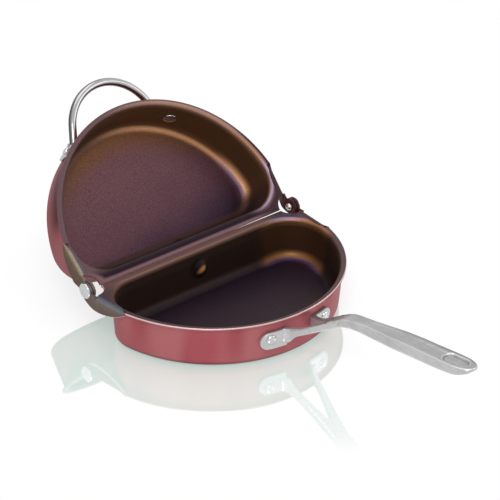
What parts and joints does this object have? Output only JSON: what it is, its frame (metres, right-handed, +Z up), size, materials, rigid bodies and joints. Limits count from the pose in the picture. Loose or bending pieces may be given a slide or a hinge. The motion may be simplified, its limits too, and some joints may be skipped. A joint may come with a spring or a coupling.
{
  "type": "folding omelette pan",
  "caption": "Folding half-moon omelette pan: two pan halves on a riveted hinge, long forked steel handle on one, bent-rod loop handle on the other, shown open.",
  "frame": {"origin": "on the resting face of the lower pan, under the centre of its round rim", "axes": "+X along the hinge, +Y from the main handle towards the hinge, +Z up; each pan is mirror-symmetric about X = 0"},
  "size_m": [0.2494, 0.4885, 0.1572],
  "materials": {
    "lower_pan": "red enamel outside, dark copper and purple nonstick coat inside",
    "upper_pan": "red enamel outside, dark copper and purple nonstick coat inside",
    "main_handle": "satin stainless casting",
    "loop_handle": "polished stainless rod",
    "rivets": "bright stainless rivet",
    "washers": "plain stainless washer"
  },
  "bodies": {
    "lower": {"lower_pan": "lower_pan", "main_handle": "main_handle", "handle_rivet_left": "rivets", "handle_rivet_right": "rivets", "hinge_rivet_left": "rivets", "hinge_rivet_right": "rivets", "hinge_washer_left": "washers", "hinge_washer_right": "washers"},
    "upper": {"upper_pan": "upper_pan", "loop_handle": "loop_handle", "loop_rivet_left": "rivets", "loop_rivet_right": "rivets"}
  },
  "joints": [
    {"name": "pan_hinge", "type": "hinge", "parent": "lower", "child": "upper", "pos_m": [0, 0.0236, 0.0429], "axis": [1, 0, 0], "range_deg": [-44.6, 135.4]}
  ]
}
